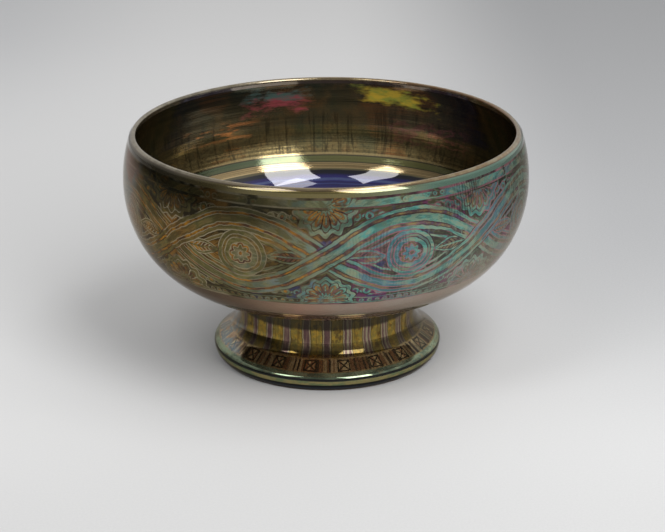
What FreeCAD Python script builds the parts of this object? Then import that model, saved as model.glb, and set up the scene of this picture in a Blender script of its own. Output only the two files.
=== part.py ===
import FreeCAD, Part
import math
import os
from collections import namedtuple

# A thrown and glazed footed bowl. Millimetres, +Z up.
# The origin is on the table, at the centre of the foot ring.
# Sizes are those of the finished, glazed surface, and angles are in degrees.

# Bowl, outside
belly_radius = 100.0
belly_rise = 54.7
haunch_inset = 5.35
haunch_drop = 24.4
swell_spread = 14.4
swell_rise = 2.9
shoulder_arc = 71.9
shoulder_angle = 18.2

# Lip
lip_round = 2.0
bevel_low_angle = 35.0
bevel_arc = 9.0
bevel_high_angle = 47.0
crest_round = 1.3

# Thickness of the bowl
belly_wall = 4.6
haunch_wall = 5.3
root_wall = 6.6
floor_thickness = 6.0

# Pedestal foot
foot_height = 37.05
neck_radius = 45.0
neck_wall = 6.2
foot_spread = 12.7
edge_height = 5.5
edge_round = 3.2
apron_angle = 35.0
flare_round = 12.0
toe_inset = 1.85
ring_width = 4.2
ring_chamfer = 0.6
heel_angle = 62.0

# Joint of the foot and the bowl
joint_fillet = 2.6
slip_thickness = 0.8
slip_cove = 3.5

# Coats of glaze: their thickness, and where one ends and the next begins
glaze_thickness = 0.45
wiped_height = 0.8
lip_band = 1.6
plain_band = 22.15
well_drop = 25.0

# Turns and headings: a heading of 0 points away from the axis, and 90 points up.
QUARTER = 90.0
HALF = 180.0
FULL = 360.0
OUT = 0.0
UP = 90.0
IN = 180.0
DOWN = 270.0

# A smaller turn than this is drawn as a straight line.
straight_turn = 0.001

# A knot is a point of the section, with the heading in which the outline passes it.
# Every outline runs with the clay on its left hand.
Knot = namedtuple("Knot", "r z heading")


def turn_between(start, end):
    """The turn from start to end, positive to the left."""
    return (end.heading - start.heading + HALF) % FULL - HALF


def moved(knot, distance, side=0.0):
    """The knot carried along its heading, or along a heading turned from it by side."""
    way = math.radians(knot.heading + side)
    r = knot.r + distance * math.cos(way)
    z = knot.z + distance * math.sin(way)
    return Knot(r, z, knot.heading)


def to_the_left(knot, distance):
    return moved(knot, distance, QUARTER)


def curved(knot, radius, turn):
    """The end of an arc that leaves the knot, turning to the left if turn is positive."""
    side = math.copysign(QUARTER, turn)
    centre = moved(knot, radius, side)
    facing = centre._replace(heading=knot.heading + turn)
    return moved(facing, radius, -side)


def chord_heading(start_r, start_z, end_r, end_z):
    return math.degrees(math.atan2(end_z - start_z, end_r - start_r))


def reached(start, r, z):
    """The end, at r and z, of the one arc that leaves start along its heading."""
    return Knot(r, z, 2 * chord_heading(start.r, start.z, r, z) - start.heading)


def reaching(r, z, end):
    """The start, at r and z, of the one arc that arrives at end along its heading."""
    return Knot(r, z, 2 * chord_heading(r, z, end.r, end.z) - end.heading)


def between(start, end):
    """The knot where two arcs meet that join start to end smoothly, with equal tangents."""
    a, b = math.radians(start.heading), math.radians(end.heading)
    chord_r, chord_z = end.r - start.r, end.z - start.z
    along = chord_r * (math.cos(a) + math.cos(b)) + chord_z * (math.sin(a) + math.sin(b))
    square = chord_r ** 2 + chord_z ** 2
    bend = 1 - math.cos(b - a)
    tangent = square / (along + math.sqrt(along ** 2 + 2 * bend * square))
    r = (start.r + end.r + tangent * (math.cos(a) - math.cos(b))) / 2
    z = (start.z + end.z + tangent * (math.sin(a) - math.sin(b))) / 2
    return reached(start, r, z)


def smooth(knots):
    """The knots, with the knot between each two of them put in."""
    outline = [knots[0]]
    for start, end in zip(knots, knots[1:]):
        outline += [between(start, end), end]
    return outline


def at_height(start, end, z):
    """The knot where the arc from start to end passes the height z."""
    turn = turn_between(start, end)
    chord = math.hypot(end.r - start.r, end.z - start.z)
    radius = chord / (2 * math.sin(math.radians(turn) / 2))
    centre = to_the_left(start, radius)
    tilt = math.acos((centre.z - z) / radius)
    if end.z < start.z:
        tilt = -tilt
    return Knot(centre.r + radius * math.sin(tilt), z, math.degrees(tilt))


def divided(outline, z):
    """The outline in two, at the first place where it passes the height z."""
    for i, (start, end) in enumerate(zip(outline, outline[1:])):
        if min(start.z, end.z) < z < max(start.z, end.z):
            cut = at_height(start, end, z)
            return outline[:i + 1] + [cut], [cut] + outline[i + 1:]
    raise ValueError("the outline does not pass this height")


def clay(outline):
    """The outline of the clay under the glaze."""
    return [to_the_left(knot, glaze_thickness) for knot in outline]


def point(knot):
    return FreeCAD.Vector(knot.r, 0, knot.z)


def edge(start, end):
    """The arc from start to end, or the line if there is no turn between them."""
    p, q = point(start), point(end)
    turn = turn_between(start, end)
    if abs(turn) < straight_turn:
        return Part.LineSegment(p, q).toShape()
    chord = q - p
    left = FreeCAD.Vector(-chord.z, 0, chord.x)
    middle = (p + q) / 2 - left * (math.tan(math.radians(turn) / 4) / 2)
    return Part.Arc(p, middle, q).toShape()


def edges(outline):
    return [edge(start, end) for start, end in zip(outline, outline[1:])]


def lines(points):
    """Straight edges through the points, in their order."""
    return [Part.LineSegment(p, q).toShape() for p, q in zip(points, points[1:])]


def revolved(section):
    """A closed section, turned once round the axis."""
    face = Part.Face(Part.Wire(Part.__sortEdges__(section)))
    return face.revolve(FreeCAD.Vector(0, 0, 0), FreeCAD.Vector(0, 0, 1), FULL)


def coat(outline):
    """A coat of glaze between the outline and the clay under it."""
    under = clay(outline)
    ends = lines([point(outline[0]), point(under[0])])
    ends += lines([point(outline[-1]), point(under[-1])])
    return revolved(edges(outline) + edges(under) + ends)


# Outside of the bowl, from the joint with the foot up to the lip
belly_height = foot_height + belly_rise
root_radius = neck_radius + joint_fillet
belly = Knot(belly_radius, belly_height, UP)
haunch = reaching(belly_radius - haunch_inset, belly_height - haunch_drop, belly)
swell = reaching(root_radius + swell_spread, foot_height + swell_rise, haunch)
root = reaching(root_radius, foot_height, swell)
lip_outside = curved(belly, shoulder_arc, shoulder_angle)

# The lip is a soft bevel outside, then a narrow round that turns down into the bowl.
bevel_low = curved(lip_outside, lip_round, bevel_low_angle - shoulder_angle)
bevel_high = curved(bevel_low, bevel_arc, bevel_high_angle - bevel_low_angle)
crest = curved(bevel_high, crest_round, QUARTER - bevel_high_angle)
lip_inside = curved(crest, crest_round, QUARTER + shoulder_angle)

# Outside of the foot, from the foot ring up to the joint
foot_edge = Knot(neck_radius + foot_spread, edge_height, UP)
toe = reaching(foot_edge.r - toe_inset, wiped_height, foot_edge)
apron_turn = QUARTER - apron_angle
apron_low = curved(foot_edge, edge_round, apron_turn)
flare_spread = flare_round * (1 - math.cos(math.radians(apron_turn)))
apron_spread = apron_low.r - neck_radius - flare_spread
apron_high = moved(apron_low, apron_spread / math.cos(math.radians(apron_angle)))
neck_low = curved(apron_high, flare_round, -apron_turn)
joint_rise = joint_fillet / math.tan(math.radians(QUARTER - root.heading) / 2)
seam_height = foot_height - joint_rise
neck_high = Knot(neck_radius, seam_height, UP)
neck_seam = Knot(neck_radius, seam_height - slip_thickness, UP)

# Inside of the hollow foot, from the middle of its ceiling out and down to the foot ring
hollow_radius = neck_radius - neck_wall
ceiling_height = seam_height - glaze_thickness
ceiling_middle = Knot(0, ceiling_height, OUT)
ceiling_edge = Knot(hollow_radius - slip_cove, ceiling_height, OUT)
cove_low = curved(ceiling_edge, slip_cove, -QUARTER)
hollow_flare = Knot(hollow_radius, neck_low.z, DOWN)
heel = Knot(toe.r - ring_width, wiped_height, -heel_angle)

# Inside of the bowl, from the lip down to the middle of the floor
belly_inside = Knot(belly_radius - belly_wall, belly_height, DOWN)
haunch_inside = to_the_left(haunch, haunch_wall)._replace(heading=haunch.heading + HALF)
root_inside = to_the_left(root, root_wall)._replace(heading=root.heading + HALF)
floor_middle = Knot(0, ceiling_height + floor_thickness, IN)

# Whole outlines
wall_outline = [root, swell, haunch, belly, lip_outside]
bevel_outline = [bevel_low, bevel_high, crest]
inside_outline = smooth([lip_inside, belly_inside, haunch_inside, root_inside, floor_middle])
foot_outline = [toe, foot_edge, apron_low, apron_high, neck_low, neck_high, root]
ceiling_outline = [ceiling_middle, ceiling_edge, cove_low]
hollow_outline = smooth([hollow_flare, heel])

# Outlines of the coats of glaze that share a wall
plain_outline, upper_outline = divided(wall_outline, foot_height + plain_band)
pattern_outline, lip_low = divided(upper_outline, lip_outside.z - lip_band)
lip_deep, lower_outline = divided(inside_outline, lip_inside.z - lip_band)
inner_outline, well_outline = divided(lower_outline, belly_height - well_drop)


def bowl_body():
    """The thrown bowl of bare clay, flat underneath where the foot is joined on."""
    skin = clay([neck_high] + wall_outline + bevel_outline + inside_outline)
    base_middle = FreeCAD.Vector(0, 0, seam_height)
    return revolved(edges(skin) + lines([point(skin[-1]), base_middle, point(skin[0])]))


def luting_slip():
    """The slip that joins the foot to the bowl, drawn into a cove inside the foot."""
    cove = clay([ceiling_edge, cove_low])
    outer = clay([neck_seam, neck_high])
    inner_corner = FreeCAD.Vector(cove[1].r, 0, neck_seam.z)
    ring = [point(cove[1]), inner_corner, point(outer[0]), point(outer[1]), point(cove[0])]
    return revolved(edges(cove) + lines(ring))


def foot_body():
    """The thrown hollow foot of bare clay, which stands on its bare ring."""
    outer = clay([toe, foot_edge, apron_low, apron_high, neck_low, neck_seam])
    inner = clay([cove_low] + hollow_outline)
    ring_inside = FreeCAD.Vector(inner[-1].r + ring_chamfer, 0, 0)
    ring_outside = FreeCAD.Vector(outer[0].r - ring_chamfer, 0, 0)
    ring = [point(inner[-1]), ring_inside, ring_outside, point(outer[0])]
    top = [point(outer[-1]), FreeCAD.Vector(inner[0].r, 0, neck_seam.z), point(inner[0])]
    return revolved(edges(outer) + edges(inner) + lines(ring) + lines(top))


nodes = {
    "bowl_body": bowl_body(),
    "luting_slip": luting_slip(),
    "foot_body": foot_body(),
    "rim_glaze": coat(lip_low + bevel_outline + lip_deep),
    "pattern_glaze": coat(pattern_outline),
    "underside_glaze": coat(plain_outline),
    "foot_glaze": coat(foot_outline),
    "inner_wall_glaze": coat(inner_outline),
    "well_glaze": coat(well_outline),
    "foot_hollow_glaze": coat(ceiling_outline + hollow_outline),
}

os.makedirs("parts", exist_ok=True)
for name, shape in nodes.items():
    shape.exportStep("parts/" + name + ".step")
    print(name, "volume", round(shape.Volume, 1), "valid", shape.isValid())
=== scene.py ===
import math

import bmesh
import bpy
from mathutils import Matrix, Vector


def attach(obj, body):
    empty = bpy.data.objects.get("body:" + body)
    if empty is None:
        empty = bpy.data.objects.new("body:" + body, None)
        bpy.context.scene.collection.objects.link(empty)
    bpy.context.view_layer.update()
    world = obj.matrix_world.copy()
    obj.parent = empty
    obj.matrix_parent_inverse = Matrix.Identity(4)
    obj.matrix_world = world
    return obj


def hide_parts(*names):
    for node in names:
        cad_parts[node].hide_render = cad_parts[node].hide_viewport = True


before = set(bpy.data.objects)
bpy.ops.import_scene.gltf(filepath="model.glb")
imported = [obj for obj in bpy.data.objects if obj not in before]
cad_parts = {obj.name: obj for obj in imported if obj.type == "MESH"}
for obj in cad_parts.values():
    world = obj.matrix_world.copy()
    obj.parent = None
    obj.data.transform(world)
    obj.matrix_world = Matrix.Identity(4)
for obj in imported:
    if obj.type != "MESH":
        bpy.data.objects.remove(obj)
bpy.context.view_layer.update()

MM = 0.001
TURN = 2 * math.pi

# Camera: its place, lens and angle were fitted to the bowl's outline in the photograph.

CAMERA_PLACE = (0.00293, -0.83957, 0.36635)
LOOK_DOWN = math.radians(21.039)
ROLL = math.radians(-0.3455)

scene = bpy.context.scene
camera_data = bpy.data.cameras.new("camera")
camera_data.sensor_width = 36.0
camera_data.lens = 96.46
camera = bpy.data.objects.new("camera", camera_data)
scene.collection.objects.link(camera)
camera.matrix_world = (
    Matrix.Translation(CAMERA_PLACE)
    @ Matrix.Rotation(math.pi / 2 - LOOK_DOWN, 4, "X")
    @ Matrix.Rotation(ROLL, 4, "Z")
)
scene.camera = camera
scene.view_settings.view_transform = "Standard"

# Outlines of the glazed surface, in millimetres: radius, height, and heading in degrees.
# Each runs with the clay on its left hand, and its knots are joined by arcs.

RIM = [
    (96.9084, 112.6069, 106.863), (96.403, 114.2069, 108.2), (96.1414, 114.7294, 125.0),
    (94.907, 116.1494, 137.0), (94.0204, 116.4986, 180.0), (92.7854, 114.7926, 288.2),
    (93.2797, 113.1926, 286.136),
]
PATTERN = [
    (89.9163, 59.2, 54.436), (94.65, 67.35, 65.266), (100.0, 91.75, 90.0),
    (96.9084, 112.6069, 106.863),
]
UNDERSIDE = [(47.6, 37.05, 8.032), (62.0, 39.95, 14.741), (89.9163, 59.2, 54.436)]
INNER = [
    (93.2797, 113.1926, 286.136), (95.0048, 103.4174, 273.88), (95.4, 91.75, 270.0),
    (93.8288, 80.3933, 254.246), (89.8362, 69.5676, 245.266), (88.3927, 66.75, 240.478),
]
WELL = [
    (88.3927, 66.75, 240.478), (72.1079, 51.4004, 206.135), (46.6778, 43.5853, 188.032),
    (23.3964, 40.777, 185.724), (0.0, 39.6074, 180.0),
]
FOOT = [
    (55.85, 0.8, 47.029), (57.7, 5.5, 90.0), (56.3354, 8.1213, 145.0), (50.1171, 12.4754, 145.0),
    (45.0, 22.3053, 90.0), (45.0, 34.0574, 90.0), (47.6, 37.05, 8.032),
]
HOLLOW = [
    (0.0, 33.6074, 0.0), (35.3, 33.6074, 0.0), (38.8, 30.1074, 270.0), (38.8, 22.3053, 270.0),
    (43.6678, 11.1644, 317.204), (51.65, 0.8, 298.0),
]
GLAZE = 0.45  # thickness of a coat, in millimetres
SIDES = 384  # of a ring of points round the axis
MOST_BEND = math.radians(7)  # of an arc from one ring to the next
END_GAP = 0.02  # from an end of an outline to the ring that keeps its edge crisp
RING_DEPTH, SLOW_DEPTH = 0.035, 0.07  # of throwing rings and of the slow wobble


def samples(outline, step):
    """Points along an outline: radius, height, the outward normal and the length so far."""
    rows, length = [], 0.0
    for (r0, z0, h0), (r1, z1, h1) in zip(outline, outline[1:]):
        start = math.radians(h0)
        turn = math.radians((h1 - h0 + 180) % 360 - 180)
        chord = math.hypot(r1 - r0, z1 - z0)
        straight = abs(turn) < 1e-4
        arc = chord if straight else chord * (turn / 2) / math.sin(turn / 2)
        count = max(2, math.ceil(arc / step), math.ceil(abs(turn) / MOST_BEND))
        shares = [i / count for i in range(count)]
        if not rows:
            shares.insert(1, END_GAP / arc)
        if (r1, z1, h1) == outline[-1]:
            shares += [1 - END_GAP / arc, 1.0]
        for share in shares:
            heading = start + turn * share
            nr, nz = math.sin(heading), -math.cos(heading)
            if straight:
                r, z = r0 + share * (r1 - r0), z0 + share * (z1 - z0)
            else:
                radius = chord / (2 * math.sin(turn / 2))
                r = r0 + radius * (nr - math.sin(start))
                z = z0 + radius * (nz + math.cos(start))
            rows.append((r, z, nr, nz, length + arc * share))
        length += arc
    return rows


def hand_wobble(angle, r, z):
    """How far the thrown surface lies inside its true outline, in millimetres."""
    rings = 0.5 + 0.5 * math.sin(z * 1.15 + 0.35 * math.sin(angle + 0.4) + 0.05 * r)
    slow = 0.5 + 0.25 * math.sin(2 * angle + 0.03 * z) + 0.25 * math.sin(3 * angle + 1.3)
    return RING_DEPTH * rings + SLOW_DEPTH * slow


def turned(name, outline, node, step=1.2):
    """A closed coat of glaze that stands for a node of the frame."""
    bm = bmesh.new()
    arc_layer = bm.verts.layers.float.new("arc")
    outer, inner = samples(outline, step), samples(outline, step * 4)
    rings = []
    for rows, depth in ((outer, 0.0), (inner[::-1], GLAZE)):
        for r, z, nr, nz, length in rows:
            on_axis = r < 1e-6
            ring = []
            for i in range(SIDES):
                if on_axis and ring:
                    ring.append(ring[0])
                    continue
                angle = TURN * i / SIDES
                inward = depth if depth else hand_wobble(angle, r, z)
                radius = 0.0 if on_axis else r - nr * inward
                height = z - nz * inward
                spot = Vector((math.sin(angle) * radius, -math.cos(angle) * radius, height)) * MM
                vert = bm.verts.new(spot)
                vert[arc_layer] = length
                ring.append(vert)
            rings.append((ring, depth))
    for i, (low, depth_low) in enumerate(rings):
        high, depth_high = rings[(i + 1) % len(rings)]
        if low[0] is low[1] and high[0] is high[1]:
            continue
        for j in range(SIDES):
            k = (j + 1) % SIDES
            corners = []
            for vert in (low[j], low[k], high[k], high[j]):
                if vert not in corners:
                    corners.append(vert)
            bm.faces.new(corners).smooth = depth_low == depth_high
    for edge in bm.edges:
        edge.smooth = all(face.smooth for face in edge.link_faces)
    bmesh.ops.recalc_face_normals(bm, faces=bm.faces)
    mesh = bpy.data.meshes.new(name)
    bm.to_mesh(mesh)
    bm.free()
    piece = bpy.data.objects.new(name, mesh)
    scene.collection.objects.link(piece)
    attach(piece, "root")
    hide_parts(node)
    return piece


# Node maths: a Field is a number or a colour that nodes work out at each point of a surface.

tree = None  # which new nodes go into


class Field:
    def __init__(self, socket):
        self.socket = socket

    def __add__(self, other):
        return calc("ADD", self, other)

    def __radd__(self, other):
        return calc("ADD", self, other)

    def __sub__(self, other):
        return calc("SUBTRACT", self, other)

    def __rsub__(self, other):
        return calc("SUBTRACT", other, self)

    def __mul__(self, other):
        return calc("MULTIPLY", self, other)

    def __truediv__(self, other):
        return calc("DIVIDE", self, other)

    def __neg__(self):
        return calc("MULTIPLY", self, -1.0)


def add_node(kind, **settings):
    made = tree.nodes.new(kind)
    for key, value in settings.items():
        setattr(made, key, value)
    return made


def plug(socket, value):
    if isinstance(value, Field):
        tree.links.new(value.socket, socket)
    else:
        socket.default_value = value


def calc(operation, *values):
    made = add_node("ShaderNodeMath", operation=operation)
    for socket, value in zip(made.inputs, values):
        plug(socket, value)
    return Field(made.outputs[0])


def size(x):
    return calc("ABSOLUTE", x)


def least(a, b):
    return calc("MINIMUM", a, b)


def most(a, b):
    return calc("MAXIMUM", a, b)


def whole(x):
    return calc("FLOOR", x)


def reach(x, y):
    """Distance of a point from the middle."""
    return calc("SQRT", x * x + y * y)


def nearest(x, period):
    """Distance from x to the nearest multiple of the period."""
    return calc("PINGPONG", x, period / 2)


def step_up(x, low, high):
    """0 below low, 1 above high, and smooth between them."""
    made = add_node("ShaderNodeMapRange", interpolation_type="SMOOTHSTEP")
    plug(made.inputs["Value"], x)
    plug(made.inputs["From Min"], low)
    plug(made.inputs["From Max"], high)
    return Field(made.outputs["Result"])


def step_down(x, low, high):
    return 1.0 - step_up(x, low, high)


def under(x, edge, soft=0.12):
    """1 where x is under the edge."""
    return step_down(x, edge - soft, edge + soft)


def over(x, edge, soft=0.12):
    return step_up(x, edge - soft, edge + soft)


def within(x, low, high, soft=0.12):
    return over(x, low, soft) * under(x, high, soft)


def vector(x, y, z):
    made = add_node("ShaderNodeCombineXYZ")
    for socket, value in zip(made.inputs, (x, y, z)):
        plug(socket, value)
    return Field(made.outputs[0])


def parted(field):
    """The red, green and blue of a colour."""
    parts = add_node("ShaderNodeSeparateColor")
    plug(parts.inputs[0], field)
    return [Field(out) for out in parts.outputs]


def noise(place, scale, detail=3.0, rough=0.55, colour=False):
    """One number, or three with colour, that wander between 0 and 1."""
    made = add_node("ShaderNodeTexNoise")
    plug(made.inputs["Vector"], place)
    plug(made.inputs["Scale"], scale)
    plug(made.inputs["Detail"], detail)
    plug(made.inputs["Roughness"], rough)
    if colour:
        return parted(Field(made.outputs["Color"]))
    return Field(made.outputs[0])


def linear(colour):
    """A colour read from 0 to 255 as a screen shows it, as the renderer's linear colour."""
    values = []
    for part in colour:
        share = part / 255
        values.append(share / 12.92 if share <= 0.04045 else ((share + 0.055) / 1.055) ** 2.4)
    return (*values, 1.0)


def mix(share, first, second):
    """From the first to the second as the share goes from 0 to 1."""
    made = add_node("ShaderNodeMix", data_type="RGBA")
    plug(made.inputs[0], share)
    plug(made.inputs[6], first)
    plug(made.inputs[7], second)
    return Field(made.outputs[2])


def blend(share, *pair):
    """A mix of two colours, each a Field or read from 0 to 255."""
    return mix(share, *(c if isinstance(c, Field) else linear(c) for c in pair))


def by_stops(x, stops):
    """A colour by x, from stops of place and linear colour."""
    made = add_node("ShaderNodeValToRGB")
    plug(made.inputs[0], x)
    points = made.color_ramp.elements
    while len(points) < len(stops):
        points.new(1.0)
    for point, (place, _) in zip(points, stops):
        point.position = place
    for point, (_, colour) in zip(points, stops):
        point.color = colour
    return Field(made.outputs[0])


def ramp(x, *stops):
    """A colour by x, from stops of place and a colour read from 0 to 255."""
    return by_stops(x, [(place, linear(colour)) for place, colour in stops])


SOCKETS = {
    "colour": "Base Color", "metal": "Metallic", "rough": "Roughness", "ior": "IOR",
    "specular": "Specular IOR Level", "edge": "Specular Tint", "coat": "Coat Weight",
    "coat_rough": "Coat Roughness", "coat_ior": "Coat IOR",
}


class Surface:
    """A new material, with where a point lies on the pot, in millimetres, ready to use."""

    def __init__(self, name):
        global tree
        self.material = bpy.data.materials.new(name)
        self.material.use_nodes = True
        tree = self.material.node_tree
        self.shader = tree.nodes["Principled BSDF"]
        self.place = Field(add_node("ShaderNodeTexCoord").outputs["Object"])
        parts = add_node("ShaderNodeSeparateXYZ")
        plug(parts.inputs[0], self.place)
        x, y, z = (Field(out) for out in parts.outputs)
        self.x, self.y, self.z = x / MM, y / MM, z / MM
        self.angle = calc("ARCTAN2", x, -y)
        self.reach = reach(self.x, self.y)
        attribute = add_node("ShaderNodeAttribute", attribute_name="arc")
        self.arc = Field(attribute.outputs["Fac"])

    def set(self, **values):
        for key, value in values.items():
            plug(self.shader.inputs[SOCKETS[key]], value)

    def bump(self, height, distance):
        """Relief that stands the distance, in millimetres, proud where the height is 1."""
        made = add_node("ShaderNodeBump")
        plug(made.inputs["Height"], height)
        made.inputs["Distance"].default_value = distance * MM
        made.inputs["Strength"].default_value = 1.0
        for name in ("Normal", "Coat Normal"):
            tree.links.new(made.outputs[0], self.shader.inputs[name])


# Floor, which isn't part of the bowl. Its tone follows the photograph's pale backdrop, with
# painted shade: darker at the front, to the right, at the far left and most behind the camera, and
# paler far back.

FLOOR_HALF = 6

floor_mesh = bpy.data.meshes.new("floor")
bm = bmesh.new()
for x, y in ((-1, -1), (1, -1), (1, 1), (-1, 1)):
    bm.verts.new((x * FLOOR_HALF, y * FLOOR_HALF, 0))
bm.faces.new(bm.verts)
bm.to_mesh(floor_mesh)
bm.free()
floor = bpy.data.objects.new("floor", floor_mesh)
scene.collection.objects.link(floor)
paper = Surface("pale_paper")
grain = noise(paper.place, 900.0, 2.0)
across, away = paper.x * MM, paper.y * MM
far = reach(across, away)
# Masks for the painted shade on the floor
right = step_up(across, 0.0, 0.2) * step_up(away, -0.25, 0.2)
far_left = step_down(across, -0.35, -0.1) * step_up(away, 0.2, 0.7)
behind_camera = step_up(far, 0.95, 2.2) * step_down(away - size(across) * 0.8, -0.2, 0.6)
tone = blend(step_up(away, -0.22, -0.08), (194, 194, 194), (211, 211, 211))
tone = blend(step_up(away, 0.1, 0.6), tone, (230, 230, 230))
tone = blend(right, tone, (176, 177, 179))
tone = blend(far_left, tone, (207, 208, 210))
tone = blend(behind_camera * step_down(across, -0.4, 0.4), tone, (112, 112, 114))
paper.set(colour=blend(grain * 0.3, tone, (226, 226, 226)), rough=0.75, specular=0.2)
floor_mesh.materials.append(paper.material)

# Lights

AIM = Vector((0, 0, 0.06))


def softbox(name, azimuth, distance, height, wide, tall, radiance, turn=0):
    """A soft light, in metres; azimuth is in degrees from the viewer's side towards +X."""
    data = bpy.data.lights.new(name, "AREA")
    data.shape = "RECTANGLE"
    data.size, data.size_y = wide, tall
    data.energy = radiance * math.pi * wide * tall
    light = bpy.data.objects.new(name, data)
    scene.collection.objects.link(light)
    way = math.radians(azimuth)
    spot = Vector((math.sin(way) * distance, -math.cos(way) * distance, height))
    light.location = spot
    facing = (AIM - spot).to_track_quat("-Z", "Y").to_matrix()
    light.rotation_euler = (facing @ Matrix.Rotation(math.radians(turn), 3, "Z")).to_euler()
    light.visible_camera = False


softbox("light_right", 33, 0.66, 0.72, 0.42, 0.70, 6.2)
softbox("light_left", -45, 0.66, 0.80, 0.25, 0.56, 4.9, turn=-24)
softbox("light_high", 60, 0.33, 0.94, 0.50, 0.22, 3.4)

# World: a dim room that is brighter overhead, low behind the camera, far back and to the right

world = bpy.data.worlds.new("studio")
scene.world = world
world.use_nodes = True
tree = world.node_tree
way = add_node("ShaderNodeSeparateXYZ")
plug(way.inputs[0], Field(add_node("ShaderNodeTexCoord").outputs["Generated"]))
to_right, to_back, up = (Field(out) for out in way.outputs)
glow = calc("POWER", most(up, 0.0), 1.4) * (0.24 + step_up(to_back, -0.4, 0.2) * 0.46) + 0.06
glow = glow + step_down(to_back, -0.8, -0.35) * step_down(up, 0.35, 0.6) * 0.42
glow = glow + step_up(to_back, 0.35, 0.75) * 0.46
glow = glow + step_up(to_right, 0.3, 0.8) * 0.36
sky = tree.nodes["Background"]
sky.inputs["Color"].default_value = (1.0, 1.0, 1.0, 1.0)
plug(sky.inputs["Strength"], glow)

# Ornament: three shares at each point, for stroke, line and filling, and none of them is ground.
# They travel together as the red, green and blue of one socket. Lengths are in millimetres.

NONE = (0.0, 0.0, 0.0, 1.0)
STROKE = (1.0, 0.0, 0.0, 1.0)
LINE = (0.0, 1.0, 0.0, 1.0)
FILLING = (0.0, 0.0, 1.0, 1.0)
ACCENT = (0.55, 0.0, 0.45, 1.0)
REPEATS = 8  # round the bowl
REPEAT = 77.0  # length of one
MIDDLE = 28.0  # height of the band's middle over its lower edge, along the surface
TOP = 55.9  # height of its upper edge
SWING = 16.6  # of a strand, up and down from the middle
STRAND = 5.5  # half the width of a strand
CLEAR = 6.2  # from a strand's middle to where the ground lies free of it
FAN_HEIGHT = 24.4  # of a fan's middle, over and under the middle of the band
BEAD_HEIGHT, BEAD_GAP, BEAD = 18.9, 5.5, 2.3  # BEAD is its radius
DOT_HEIGHT, DOT_GAP, DOT = 25.2, 3.85, 1.45
LEAF_MIDDLE = 21.2  # to either side of an eye's middle
LEAF_HALF_LENGTH, LEAF_HALF_WIDTH = 10.4, 3.9
ROSETTE = 11.9  # radius


def bands(x, first, *edges, soft=0.1):
    """The first kind of paint, and then at each edge the next kind."""
    last = edges[-1][0] + 2.0
    stops = [(0.0, first)]
    for place, kind in edges:
        stops += [((place - soft) / last, stops[-1][1]), ((place + soft) / last, kind)]
    return by_stops(x / last, stops)


def fans(far, edge, petals):
    """The ground, with rayed fans at both edges of the band."""
    paint = bands(
        edge, FILLING, (1.6, LINE), (2.0, STROKE), (3.9, LINE), (4.4, FILLING),
        (9.6, STROKE), (11.2, LINE), (11.7, STROKE), (13.8, LINE), (14.5, NONE),
    )
    ray = under(size(petals + 1.0) * far, 1.1, 0.5) * within(far, 4.6, 11.0)
    paint = mix(ray, paint, LINE)
    core = under(size(petals - 1.0) * far, 1.2, 0.5) * within(far, 5.6, 9.0)
    return mix(core, paint, STROKE)


def leaves(paint, beside, height):
    """Veined leaves in the corners of each eye."""
    leaf_x = (beside - LEAF_MIDDLE) / LEAF_HALF_LENGTH
    leaf_in = (1.0 - leaf_x * leaf_x) * LEAF_HALF_WIDTH - height
    vein = nearest(beside + height * 1.1, 2.2)
    leaf_paint = bands(leaf_in, LINE, (0.45, STROKE), (1.35, LINE), (1.65, FILLING))
    leaf_paint = mix(under(vein, 0.32, 0.15) * over(leaf_in, 1.6), leaf_paint, LINE)
    leaf_paint = mix(under(height, 0.38), leaf_paint, STROKE)
    return mix(over(leaf_in, 0.0), paint, leaf_paint)


def rosettes(paint, across, up):
    """Ringed rosettes in the eyes."""
    far = reach(across, up)
    petal = calc("COSINE", calc("ARCTAN2", up, across) * 8.0)
    ring = far - petal * within(far, 1.6, 5.2, 0.9) * 0.75
    rosette = bands(
        ring, FILLING, (0.9, LINE), (1.3, STROKE), (3.6, LINE), (4.1, FILLING), (5.3, LINE),
        (5.7, STROKE), (7.7, LINE), (8.15, ACCENT), (9.3, LINE), (9.7, STROKE), (11.4, LINE),
        (ROSETTE, NONE),
    )
    return mix(under(ring, ROSETTE), paint, rosette)


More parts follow.
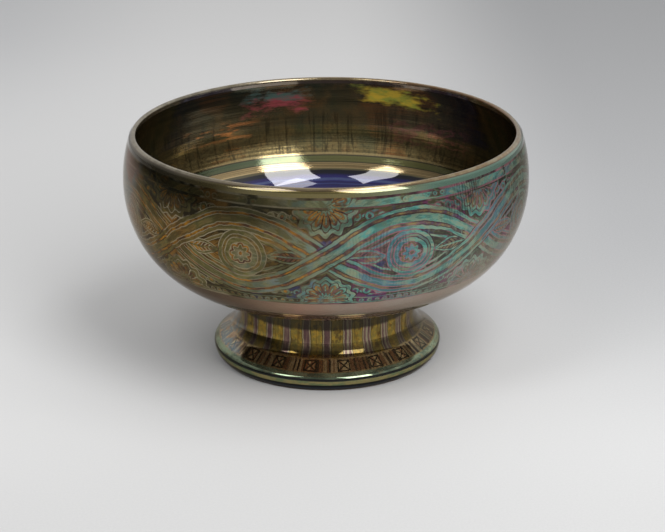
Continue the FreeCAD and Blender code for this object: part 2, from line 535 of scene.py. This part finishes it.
def interlace(surface):
    """The painted band: two interlacing strands round ringed rosettes, with leaves and fans."""
    wander = noise(surface.place, 55.0, 4.0, 0.6, colour=True)
    turn = surface.angle * (REPEATS / TURN) + (wander[0] - 0.5) * 0.05
    arc = surface.arc + (wander[1] - 0.5) * 4.0
    up = arc - MIDDLE
    across = (calc("FRACT", turn) - 0.5) * REPEAT
    beside, height = size(across), size(up)
    from_crossing = REPEAT / 2 - beside

    # Distances from the middles of the two strands
    wave = calc("SINE", turn * math.pi)
    rising = calc("COSINE", turn * math.pi)
    slope = rising * (SWING * math.pi / REPEAT)
    thick = calc("SQRT", slope * slope + 1.0) * (0.86 + wander[2] * 0.28)
    first = size(up - wave * SWING) / thick
    second = size(up + wave * SWING) / thick
    between = least(first, second)
    flow = noise(vector(between * 0.55, surface.x * 0.117, surface.y * 0.117), 1.0, 3.0, 0.6)

    fan_up = FAN_HEIGHT - height
    fan_far = reach(fan_up, from_crossing)
    petals = calc("COSINE", calc("ARCTAN2", from_crossing, fan_up) * 14.0)
    fan_edge = fan_far - petals * 0.9
    paint = fans(fan_far, fan_edge, petals)

    # Lines that follow the strands, and beads and dots along the edges
    echo = between + (wander[2] - 0.5) * 1.6
    echo_paint = bands(echo, NONE, (6.9, LINE), (7.25, STROKE), (8.3, LINE), (8.65, NONE))
    echo_share = over(fan_edge, 14.8) * under(height, 21.5) * within(echo, 6.7, 8.8)
    paint = mix(echo_share, paint, echo_paint)
    bead = reach(nearest(across + BEAD_GAP / 2, BEAD_GAP), height - BEAD_HEIGHT)
    bead_paint = bands(bead, FILLING, (0.9, STROKE), (1.9, LINE), (BEAD, NONE))
    paint = mix(over(fan_edge, 15.0) * under(bead, BEAD), paint, bead_paint)
    paint = mix(within(height, 23.0, 23.5) * over(between, CLEAR), paint, STROKE)
    dot = reach(nearest(across + DOT_GAP / 2, DOT_GAP), height - DOT_HEIGHT)
    dot_paint = bands(dot, FILLING, (0.5, STROKE), (1.15, LINE), (DOT, NONE))
    dot_share = over(fan_edge, 15.0) * under(dot, DOT) * over(between, CLEAR)
    paint = mix(dot_share, paint, dot_paint)

    paint = leaves(paint, beside, height)
    paint = rosettes(paint, across, up)

    # The strands, each over the other by turns
    cord = [(1.7, LINE), (2.1, FILLING), (3.15, LINE), (3.45, STROKE), (5.0, LINE), (STRAND, NONE)]
    first_on_top = over(rising, 0.0, 0.05)
    for own, other, top in ((second, first, 1.0 - first_on_top), (first, second, first_on_top)):
        shown = under(own, STRAND) * most(top, over(other, STRAND + 0.4))
        paint = mix(shown, paint, bands(own, STROKE, *cord))

    # Rings below and above the band
    low = bands(arc, LINE, (0.7, STROKE), (1.7, LINE), (2.1, NONE))
    paint = mix(under(arc, 2.0), paint, low)
    down = TOP - surface.arc + (wander[1] - 0.5) * 1.2
    high = bands(down, LINE, (1.2, STROKE), (4.3, LINE), (5.1, NONE))
    paint = mix(under(down, 5.7) * step_down(wander[0], 0.5, 0.58), paint, high)
    return paint, wander, flow


# Paints: each makes the material of one piece.


def shade_and_sheen_side(surface):
    """0 on the left of the pot and 1 on its right, with a noisy drift; colours laid by it are
    painted shade at the left and painted iridescent sheen at the right.
    """
    cloud = noise(surface.place, 14.0, 2.0, 0.5)
    lean = calc("SINE", surface.angle) * 0.5 + 0.5
    return lean + (cloud - 0.5) * 0.35 - (surface.z - 85.0) * 0.003


def lustre(name, metal=0.8, coat=0.05, coat_ior=1.5):
    """A thin film of metal in the glaze, warm at its edges; its paint sets the roughness."""
    surface = Surface(name)
    surface.set(metal=metal, edge=(0.62, 0.56, 0.48, 1.0), ior=1.5, specular=0.3)
    surface.set(coat=coat, coat_rough=0.03, coat_ior=coat_ior)
    return surface


HATCHES = 413  # fine upright scratches round the bowl


def outside_stroke(side, mottle, drift, flow):
    """Strokes, khaki at the left and teal at the right, with blue spots and flowing streaks."""
    colour = blend(
        step_up(mottle, 0.35, 0.65),
        ramp(
            side, (0.05, (76, 66, 34)), (0.3, (88, 84, 52)), (0.42, (108, 128, 118)),
            (0.62, (90, 154, 144)), (0.95, (110, 156, 144)),
        ),
        ramp(
            side, (0.05, (94, 86, 48)), (0.34, (112, 106, 62)), (0.5, (130, 140, 112)),
            (0.62, (132, 154, 128)), (0.95, (136, 152, 132)),
        ),
    )
    spots = ramp(
        side, (0.05, (118, 82, 34)), (0.28, (104, 92, 56)), (0.38, (120, 132, 130)),
        (0.5, (84, 112, 138)), (0.95, (88, 122, 144)),
    )
    colour = blend(step_up(drift[1], 0.52, 0.6) * 0.7, colour, spots)
    dark = ramp(
        side, (0.1, (66, 52, 28)), (0.44, (92, 86, 52)), (0.62, (52, 104, 100)),
        (0.95, (70, 100, 94)),
    )
    colour = blend(step_up(flow, 0.5, 0.56) * 0.55, colour, dark)
    cream = ramp(
        side, (0.1, (132, 98, 46)), (0.44, (140, 138, 110)), (0.62, (166, 152, 116)),
        (0.95, (160, 148, 128)),
    )
    return blend(step_down(flow, 0.4, 0.45) * 0.36, colour, cream)


def outside_ground(side, mottle, drift, flow):
    """The ground that shows between the strokes."""
    colour = blend(
        step_up(drift[0] + (0.4 - side) * 0.15, 0.5, 0.62),
        ramp(
            side, (0.05, (36, 28, 16)), (0.33, (56, 48, 26)), (0.54, (88, 80, 54)),
            (0.95, (66, 74, 66)),
        ),
        ramp(
            side, (0.05, (106, 70, 28)), (0.4, (136, 104, 50)), (0.65, (104, 82, 80)),
            (0.95, (112, 96, 98)),
        ),
    )
    specks = ramp(side, (0.2, (44, 34, 18)), (0.7, (64, 64, 62)))
    colour = blend(step_up(mottle, 0.5, 0.62) * 0.4, colour, specks)
    dark = ramp(side, (0.2, (42, 32, 16)), (0.7, (58, 58, 56)))
    colour = blend(step_up(flow, 0.53, 0.58) * 0.6, colour, dark)
    pale = ramp(side, (0.2, (126, 94, 42)), (0.65, (116, 150, 130)))
    return blend(step_down(flow, 0.4, 0.45) * 0.3, colour, pale)


def outside_scratches_and_painted_light(surface, colour, side, streak, drift, hatch):
    """Scratches over the whole of the painted band, and painted shade and painted reflections at
    its left and right.
    """
    scratch = hatch * step_up(side, 0.5, 0.7) * step_up(drift[0], 0.47, 0.6)
    deeper = 0.3 + step_up(surface.arc, 28.0, 40.0) * 0.3
    colour = blend(scratch * deeper, colour, (38, 40, 38))
    frayed = step_up(streak, 0.56, 0.62) * step_up(side, 0.6, 0.85) * step_up(drift[2], 0.42, 0.52)
    colour = blend(frayed * 0.4, colour, (146, 164, 146))
    # Painted shade: a dark zone under the lip at the left.
    left_painted_shade = step_down(side + (drift[2] - 0.5) * 0.3, 0.2, 0.5) * step_up(surface.arc, 36.0, 50.0)
    colour = blend(left_painted_shade * 0.55, colour, blend(drift[0], (22, 36, 34), (44, 40, 24)))
    # Painted reflection: a silvery-blue flash at the left edge.
    left_edge_painted_reflection = step_down(surface.x + (drift[1] - 0.5) * 12.0, -96.0, -86.0)
    left_edge_painted_reflection = left_edge_painted_reflection * step_up(surface.arc, 20.0, 34.0)
    reflection_tint = blend(step_up(drift[2], 0.45, 0.55), (158, 176, 190), (190, 158, 164))
    colour = blend(left_edge_painted_reflection * 0.4, colour, reflection_tint)
    # Painted reflection: a pale sheen low on the right.
    right_painted_reflection = step_up(side, 0.8, 1.0) * step_down(surface.arc, 14.0, 34.0)
    return blend(right_painted_reflection * 0.34, colour, (196, 184, 172))


def paint_outside():
    """The ornament under its lustre; its turn from dark olive at the left to teal at the right is
    painted shade and painted iridescent sheen.
    """
    surface = lustre("pattern_lustre")
    paint, wander, flow = interlace(surface)
    stroke, thin, filling = parted(paint)
    side = shade_and_sheen_side(surface)
    mottle = noise(surface.place, 160.0, 5.0, 0.65)
    brush = vector(surface.x * MM, surface.y * MM, surface.z * MM * 0.3)
    streak = noise(brush, 560.0, 4.0, 0.65)
    drift = noise(surface.place, 38.0, 3.0, 0.6, colour=True)
    worn = step_up(noise(surface.place, 26.0, 4.0, 0.65), 0.36, 0.6)
    hatch = under(nearest(surface.angle * (HATCHES / TURN) + streak * 1.7, 1.0), 0.19, 0.1)

    ground = outside_ground(side, mottle, drift, flow)
    dark = step_up(drift[2], 0.53, 0.6) * step_up(side, 0.45, 0.6)
    ground = blend(dark * (0.55 + hatch * 0.4), ground, (40, 38, 40))
    purple = step_up(wander[2], 0.58, 0.63) * step_up(side, 0.4, 0.55)
    ground = blend(purple * 0.8, ground, (108, 50, 92))
    inky = step_up(wander[1], 0.56, 0.62) * within(side, 0.4, 0.75, 0.08)
    ground = blend(inky * 0.7, ground, (52, 60, 104))
    filled = blend(
        step_up(mottle, 0.36, 0.68),
        ramp(
            side, (0.05, (58, 42, 18)), (0.4, (84, 60, 52)), (0.65, (74, 62, 72)),
            (0.95, (78, 84, 78)),
        ),
        ramp(
            side, (0.05, (150, 104, 28)), (0.4, (162, 114, 44)), (0.62, (152, 128, 84)),
            (0.95, (134, 128, 104)),
        ),
    )
    filled = blend(purple * 0.5, filled, (96, 62, 112))
    lined = blend(
        step_up(drift[1] - side * 0.12, 0.38, 0.46),
        ramp(
            side, (0.05, (38, 30, 14)), (0.4, (50, 38, 26)), (0.62, (70, 48, 56)),
            (0.95, (70, 58, 62)),
        ),
        ramp(
            side, (0.05, (150, 140, 114)), (0.33, (146, 136, 108)), (0.5, (84, 62, 48)),
            (0.7, (152, 106, 116)), (0.95, (170, 128, 130)),
        ),
    )
    colour = blend(filling, ground, filled)
    stroked = outside_stroke(side, mottle, drift, flow)
    colour = blend(stroke * (0.76 + worn * 0.24), colour, stroked)
    colour = blend(thin * (0.7 + worn * 0.3), colour, lined)
    bristles = ramp(side, (0.2, (48, 38, 18)), (0.7, (134, 140, 118)))
    colour = blend(step_up(streak, 0.5, 0.72) * 0.2, colour, bristles)
    colour = outside_scratches_and_painted_light(surface, colour, side, streak, drift, hatch)
    surface.set(colour=colour, rough=0.06 + mottle * 0.06)
    surface.bump(streak * 0.5 + stroke * 0.5, 0.02)
    return surface


def paint_lip():
    """Gold on the lip, olive to teal outside it, with a dark line between them."""
    surface = lustre("lip_lustre", coat=0.75, coat_ior=1.7)
    side = shade_and_sheen_side(surface)
    rubbed = noise(surface.place, 220.0, 4.0, 0.6)
    # By side, as on the wall: greyer at the left as a painted reflection, and the olive outside it
    # darker at the left as painted shade.
    gold = blend(
        step_up(rubbed, 0.4, 0.62),
        ramp(side, (0.05, (136, 128, 110)), (0.5, (124, 104, 70)), (0.9, (124, 98, 62))),
        ramp(side, (0.05, (110, 102, 84)), (0.5, (142, 124, 86)), (0.9, (136, 128, 104))),
    )
    level = surface.z + (rubbed - 0.5) * 0.3
    outer = step_down(surface.arc, 5.2, 5.6)
    olive = ramp(
        side, (0.05, (60, 52, 28)), (0.35, (116, 104, 54)), (0.5, (122, 110, 62)),
        (0.64, (92, 124, 106)), (0.95, (84, 118, 104)),
    )
    gold = blend(under(level, 115.3, 0.15) * outer, gold, olive)
    gold = blend(within(level, 115.2, 115.6, 0.15) * outer * 0.7, gold, (64, 46, 22))
    rust = within(surface.arc + (rubbed - 0.5) * 0.8, 5.9, 6.9, 0.3)
    rust = rust * step_up(surface.x, 20.0, 60.0)
    gold = blend(rust * 0.7, gold, (112, 66, 30))
    surface.set(colour=gold, rough=0.08 + rubbed * 0.08)
    surface.bump(rubbed, 0.015)
    return surface


def paint_underside():
    """The plain band under the ornament; its brown at the left is painted shade and its pinkish
    white at the right a painted reflection of the floor.
    """
    surface = lustre("underside_lustre")
    side = shade_and_sheen_side(surface)
    cloudy = noise(surface.place, 60.0, 4.0, 0.6)
    colour = blend(
        step_up(cloudy, 0.35, 0.7),
        ramp(
            side, (0.05, (54, 42, 28)), (0.32, (96, 78, 64)), (0.5, (164, 130, 112)),
            (0.7, (160, 136, 122)), (0.95, (168, 154, 144)),
        ),
        ramp(
            side, (0.05, (76, 62, 42)), (0.32, (104, 88, 70)), (0.5, (166, 140, 118)),
            (0.7, (158, 144, 132)), (0.95, (172, 163, 153)),
        ),
    )
    surface.set(colour=colour, rough=0.08 + cloudy * 0.06)
    surface.bump(cloudy, 0.02)
    return surface


# Foot: upright stripes on the neck, a border of crossed squares and slats, and rings at the edge.
# Lengths are in millimetres, and the border's are measured up the surface from its lower edge.

STRIPES, STRIPE_GAP = 28, 10.1
CROSSES, CROSS_GAP = 20, 17.0
SLAT_GAP = 1.1
BORDER_MIDDLE, BORDER_TOP = 13.9, 18.2


def foot_neck(surface, wobble, grainy, runs):
    """Upright stripes of uneven width, with pale and dark outlines, on golden panels, with painted
    shade low on the flare and high under the bowl.
    """
    stripes = surface.angle * (STRIPES / TURN) + (wobble[0] - 0.5) * 0.16
    number = calc("FLOORED_MODULO", whole(stripes + 0.5), float(STRIPES))
    uneven = noise(vector(number * 0.37, 0.0, 0.0), 5.0, 1.0)
    from_stripe = nearest(stripes, 1.0) * STRIPE_GAP - (uneven - 0.5) * 2.2
    panel = blend(step_up(grainy, 0.38, 0.6), (154, 124, 46), (124, 108, 50))
    panel = blend(step_up(runs, 0.52, 0.64) * 0.6, panel, (84, 60, 24))
    marks = step_up(noise(surface.place, 300.0, 2.0, 0.5), 0.6, 0.66)
    panel = blend(marks * 0.6, panel, (64, 44, 22))
    stripe = blend(step_up(runs, 0.45, 0.6), (88, 64, 62), (112, 88, 78))
    neck = blend(under(from_stripe, 2.3, 0.15), panel, (60, 42, 26))
    neck = blend(under(from_stripe, 1.95, 0.15), neck, (150, 138, 104))
    neck = blend(under(from_stripe, 1.45, 0.15), neck, stripe)
    split = under(from_stripe, 0.3, 0.15) * step_up(uneven, 0.5, 0.55)
    neck = blend(split, neck, (140, 128, 104))
    # Painted shade: darker low on the flare.
    neck = blend(under(surface.arc + (runs - 0.5) * 5.0, 24.0, 1.2) * 0.62, neck, (40, 34, 22))
    # Painted shade: darker high on the neck, under the bowl.
    neck = blend(over(surface.arc + (grainy - 0.5) * 1.5, 32.0, 0.8) * 0.84, neck, (30, 28, 18))
    neck = blend(over(surface.arc, 37.8, 0.6), neck, (84, 72, 44))
    return blend(over(surface.arc, 40.6, 0.3) * under(surface.arc, 41.6, 0.3), neck, (52, 38, 22))


def foot_border(surface, wobble, grainy):
    """Crossed squares, with slats of uneven height and colour between them."""
    cell = surface.angle * (CROSSES / TURN) + (wobble[1] - 0.5) * 0.06
    along = (calc("FRACT", cell) - 0.5) * CROSS_GAP
    beside = size(along)
    tall = size(surface.arc - BORDER_MIDDLE + (wobble[2] - 0.5) * 0.9)
    number = calc("FLOORED_MODULO", whole(cell), float(CROSSES))
    shade = noise(
        vector(whole(along / SLAT_GAP) * 0.71, number * 3.3, 0.0), 4.0, 1.0, colour=True
    )
    pale_slat = blend(step_up(shade[1], 0.5, 0.54), (128, 94, 66), (190, 170, 130))
    slats = blend(step_up(shade[0], 0.44, 0.48), (46, 36, 32), pale_slat)
    slats = blend(over(nearest(along, SLAT_GAP), 0.4, 0.08) * 0.6, slats, (92, 70, 54))
    ground = blend(step_up(grainy, 0.4, 0.6), (134, 114, 78), (178, 154, 110))
    border = blend(under(tall, 2.2 + shade[2] * 2.6, 0.15), ground, slats)
    red = blend(grainy, (160, 116, 88), (118, 94, 70))
    filled = blend(step_up(shade[1], 0.45, 0.55), red, (196, 176, 132))
    square = blend(under(size(beside - tall), 0.5), filled, (36, 26, 22))
    from_middle = most(beside, tall)
    square = blend(over(from_middle, 2.55), square, (30, 24, 20))
    border = blend(under(from_middle, 3.2), border, square)
    return blend(0.2 + step_up(grainy, 0.45, 0.7) * 0.4, border, (96, 84, 54))


def paint_foot():
    """The neck, the border under it, and the rings at the edge."""
    surface = lustre("foot_lustre", metal=0.85, coat=0.2)
    wobble = noise(surface.place, 130.0, 3.0, 0.6, colour=True)
    grainy = noise(surface.place, 420.0, 4.0, 0.65)
    up_neck = vector(surface.x * MM, surface.y * MM, surface.z * MM * 0.12)
    runs = noise(up_neck, 520.0, 3.0, 0.6)
    skin = blend(
        over(surface.arc + (wobble[2] - 0.5) * 2.0, BORDER_TOP, 0.6),
        foot_border(surface, wobble, grainy),
        foot_neck(surface, wobble, grainy, runs),
    )

    # Rings at the edge, from the highest down
    level = surface.z + (wobble[1] - 0.5) * 0.35
    patches = noise(vector(surface.x * 0.054, surface.y * 0.054, level * 0.15), 1.6, 4.0, 0.7)
    green = blend(step_up(patches, 0.4, 0.6), (88, 100, 84), (132, 146, 120))
    green = blend(step_up(grainy, 0.5, 0.7) * 0.5, green, (150, 132, 92))
    straw = blend(step_up(patches, 0.42, 0.58), (158, 146, 98), (118, 130, 92))
    skin = blend(under(level, 9.0, 0.25), skin, green)
    skin = blend(within(level, 5.6, 6.9, 0.2), skin, (34, 36, 34))
    skin = blend(under(level, 5.6, 0.2), skin, straw)
    skin = blend(under(level, 3.6, 0.2), skin, (26, 28, 30))
    skin = blend(under(level, 2.3, 0.3), skin, (44, 52, 60))

    # Painted reflection: a pale flash at the left; painted shade: a dark one at the right
    left_painted_reflection = step_down(surface.x + (wobble[0] - 0.5) * 16.0, -49.0, -40.0)
    left_painted_reflection = left_painted_reflection * step_down(surface.y, 0.0, 24.0) * over(surface.arc, 10.0, 1.0)
    reflection_tint = blend(step_up(wobble[2], 0.45, 0.55), (150, 172, 180), (206, 176, 148))
    skin = blend(left_painted_reflection * 0.5, skin, reflection_tint)
    right_painted_shade = step_up(surface.x + (wobble[1] - 0.5) * 16.0, 34.0, 47.0)
    right_painted_shade = right_painted_shade * over(surface.arc, 10.0, 1.0)
    painted_shade_tint = blend(step_up(wobble[2], 0.45, 0.55), (34, 48, 42), (30, 26, 24))
    skin = blend(right_painted_shade * 0.6, skin, painted_shade_tint)
    surface.set(colour=skin, rough=0.05 + grainy * 0.06)
    surface.bump(runs * 0.4 + grainy * 0.6, 0.015)
    return surface


# Inside wall. The rings above the blue are at these heights, in millimetres.

GOLD_TOP, RING_TOP, PALE_TOP = 70.1, 73.4, 74.9


def inside_rings(surface, tone, level, fine):
    """Pale, olive and golden rings with dark lines between them, and painted shade higher up at
    the left.
    """
    tone = blend(under(level, PALE_TOP) * (0.3 + fine * 0.6), tone, (184, 162, 108))
    olive = blend(step_up(surface.x, -40.0, 10.0), (84, 98, 68), (112, 112, 62))
    tone = blend(within(level, GOLD_TOP, RING_TOP) * (0.7 + fine * 0.5), tone, olive)
    tone = blend(within(level, 73.2, 73.8) * 0.85, tone, (50, 48, 30))
    # Painted shade: darker high on the wall at the left.
    far_wall_painted_shade = step_up(level, 92.0, 106.0) * step_down(surface.x, -34.0, -4.0)
    tone = blend(far_wall_painted_shade * 0.5, tone, (38, 40, 24))
    golden = blend(step_up(fine, 0.42, 0.56), (214, 188, 138), (150, 126, 84))
    tone = blend(under(level, GOLD_TOP) * 0.85, tone, golden)
    return blend(within(level, 69.8, 70.3) * 0.85, tone, (54, 50, 32))


def inside_painted_reflections(surface, tone, level):
    """Painted reflections in colour and painted shade on the side walls; also the share of the
    strongest painted reflections.
    """
    x, z = surface.x, surface.z
    torn = noise(vector(x * 0.05, surface.y * 0.05, z * 0.16), 1.6, 4.0, 0.65, colour=True)
    on_far_wall = step_up(surface.y, 0.0, 40.0)
    # Painted reflection: rose to teal high on the far wall.
    rose_reflection = most(size(x + 26.0) / 14.0, size(z - 105.0) / 6.0) + (torn[0] - 0.5) * 3.6
    rose_reflection = step_down(rose_reflection, 0.3, 1.3) * on_far_wall
    hue = step_up(z + (torn[1] - 0.5) * 16.0, 103.5, 107.5)
    tone = blend(rose_reflection * 0.7, tone, blend(hue, (180, 74, 88), (88, 120, 112)))
    # Painted reflection: lime high on the far wall.
    lime_reflection = most(size(x - 37.0) / 19.0, size(z + x * 0.12 - 111.0) / 4.6) + (torn[2] - 0.5) * 2.6
    lime_reflection = step_down(lime_reflection, 0.4, 1.2) * on_far_wall
    hue = step_up(torn[1], 0.42, 0.6)
    tone = blend(lime_reflection * 0.85, tone, blend(hue, (240, 206, 70), (176, 184, 74)))
    # Painted shade: the side walls darken.
    tone = blend(step_up(size(x) + x * 0.1, 48.0, 90.0) * 0.82, tone, (16, 15, 13))
    # Painted reflection: orange streaks at the left.
    licks = noise(vector(x * 0.05, surface.y * 0.05, z * 0.42), 1.0, 4.0, 0.6)
    orange_reflection = step_up(licks, 0.53, 0.58) * within(x, -72.0, -38.0, 5.0)
    tone = blend(orange_reflection * within(z, 86.0, 95.0, 2.5) * 0.75, tone, (226, 150, 84))
    # Painted reflection: a pinkish blush at the right.
    pink_reflection = within(torn[2], 0.48, 0.56, 0.03) * within(x, 34.0, 72.0, 6.0)
    tone = blend(pink_reflection * within(level, 82.0, 94.0, 3.0) * 0.5, tone, (158, 96, 88))
    return tone, most(rose_reflection, lime_reflection)


def paint_inside():
    """Lines turned on the wheel, drips, rings above the blue, painted reflections under the lip,
    and painted shade on the side walls.
    """
    surface = lustre("inner_lustre", coat_ior=1.7)
    x, y = surface.x, surface.y
    grainy = noise(surface.place, 140.0, 5.0, 0.65)
    level = surface.z + (noise(surface.place, 25.0, 2.0) - 0.5) * 1.2
    turned_lines = noise(vector(x * 0.004, y * 0.004, level * 0.9), 1.0, 4.0, 0.7)
    fine = noise(vector(x * 0.009, y * 0.009, level * 3.1), 1.0, 2.0, 0.6)
    tone = ramp(
        (level - 66.0) / 50.0, (0.0, (176, 158, 104)), (0.18, (166, 146, 98)),
        (0.36, (142, 126, 84)), (0.7, (102, 94, 62)), (1.0, (78, 76, 52)),
    )
    tone = blend(step_up(turned_lines, 0.42, 0.62) * 0.55, tone, (74, 68, 44))
    tone = blend(step_up(fine, 0.46, 0.66) * 0.5, tone, (136, 120, 78))
    tone = blend(step_down(fine, 0.34, 0.48) * 0.5, tone, (52, 48, 32))
    tone = blend(step_up(grainy, 0.45, 0.7) * 0.4, tone, (150, 118, 70))
    speckle = step_up(noise(surface.place, 760.0, 2.0, 0.6), 0.5, 0.62)
    tone = blend(speckle * step_down(level, 80.0, 98.0) * 0.5, tone, (66, 54, 36))
    clouds = noise(surface.place, 22.0, 3.0, 0.6, colour=True)
    tone = blend(step_up(clouds[0], 0.48, 0.62) * 0.5, tone, (56, 84, 66))
    rusty = step_up(clouds[1], 0.54, 0.66) * step_up(fine, 0.4, 0.55)
    tone = blend(rusty * 0.5, tone, (168, 104, 50))
    runs = noise(vector(x / surface.reach, y / surface.reach, level * 0.0006), 15.0, 2.0, 0.5)
    drips = within(runs, 0.5, 0.525, 0.01)
    drips = drips * step_down(level, 80.0 + clouds[2] * 20.0, 86.0 + clouds[2] * 44.0)
    tone = blend(drips * 0.6, tone, (52, 48, 32))
    tone = blend(step_up(runs, 0.55, 0.75) * 0.35, tone, (64, 58, 38))
    tone = inside_rings(surface, tone, level, fine)
    tone, painted_reflection_share = inside_painted_reflections(surface, tone, level)
    surface.set(coat=under(level, 75.0, 0.6) * 0.55 + 0.15)
    # The painted reflections are less metallic.
    surface.set(colour=tone, metal=0.74 - painted_reflection_share * 0.35, rough=0.05 + grainy * 0.05)
    surface.bump(turned_lines * 0.6 + fine * 0.4 + grainy * 0.4, 0.05)
    return surface


def paint_well():
    """Cobalt blue with thin pale rings, and a dark and a golden ring at its edge."""
    surface = lustre("cobalt", metal=0.15, coat=1.0, coat_ior=1.75)
    cloudy = noise(surface.place, 70.0, 4.0, 0.6)
    radius = surface.reach + (noise(surface.place, 30.0, 2.0) - 0.5) * 1.6
    cobalt = blend(cloudy, (10, 9, 58), (26, 19, 92))
    swirl = noise(vector(surface.x * 0.008, surface.y * 0.008, radius * 0.5), 1.0, 3.0, 0.6)
    cobalt = blend(step_up(swirl, 0.5, 0.7) * 0.3, cobalt, (40, 38, 112))
    rings = within(radius, 84.6, 85.5, 0.3) + within(radius, 83.2, 83.6, 0.2) * 0.6
    rings = rings + under(nearest(radius, 13.0), 0.4, 0.2)
    deep = blend(least(rings, 1.0) * (0.1 + cloudy * 0.5), cobalt, (96, 114, 150))
    deep = blend(over(radius, 86.6, 0.5), deep, (10, 12, 24))
    deep = blend(over(radius, 87.9, 0.2), deep, (84, 78, 52))
    deep = blend(within(radius, 15.3, 16.5, 0.3), deep, (120, 104, 64))
    surface.set(colour=deep, rough=0.03 + cloudy * 0.05)
    surface.bump(cloudy, 0.02)
    return surface


def paint_hollow():
    """Thin, patchy glaze inside the foot."""
    surface = lustre("hollow_glaze", metal=0.2)
    patchy = noise(surface.place, 90.0, 4.0, 0.6)
    pooled = noise(surface.place, 35.0, 2.0)
    colour = blend(step_up(patchy, 0.4, 0.6), (78, 66, 46), (96, 88, 66))
    surface.set(colour=colour, rough=0.16 + patchy * 0.14)
    surface.bump(patchy * 0.6 + pooled * 0.4, 0.05)
    return surface


def paint_clay(name, dark, light):
    """Sandy clay, stained where the foot ring has stood."""
    surface = Surface(name)
    sand = noise(surface.place, 900.0, 4.0, 0.7)
    bare = blend(step_up(sand, 0.35, 0.65), dark, light)
    stained = over(surface.reach, 53.4, 0.6) * under(surface.z, 3.0)
    surface.set(colour=blend(stained * 0.85, bare, (40, 34, 30)), rough=0.7 + sand * 0.2)
    surface.bump(sand, 0.08)
    return surface


# Pieces, and the bare clay of the frame's own nodes

rim = turned("rim_glaze_coat", RIM, "rim_glaze", 0.6)
band = turned("pattern_glaze_coat", PATTERN, "pattern_glaze")
plain = turned("underside_glaze_coat", UNDERSIDE, "underside_glaze")
foot = turned("foot_glaze_coat", FOOT, "foot_glaze", 0.9)
inside = turned("inner_wall_glaze_coat", INNER, "inner_wall_glaze")
well = turned("well_glaze_coat", WELL, "well_glaze")
hollow = turned("foot_hollow_glaze_coat", HOLLOW, "foot_hollow_glaze")
for piece, paint in (
    (rim, paint_lip), (band, paint_outside), (plain, paint_underside), (foot, paint_foot),
    (inside, paint_inside), (well, paint_well), (hollow, paint_hollow),
):
    piece.data.materials.append(paint().material)

for name, dark, light in (
    ("bowl_body", (150, 112, 84), (172, 134, 104)),
    ("luting_slip", (134, 100, 76), (152, 118, 92)),
    ("foot_body", (146, 108, 80), (170, 130, 100)),
):
    clay = paint_clay(name + "_clay", dark, light)
    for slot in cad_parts[name].material_slots:
        slot.link = "OBJECT"
        slot.material = clay.material
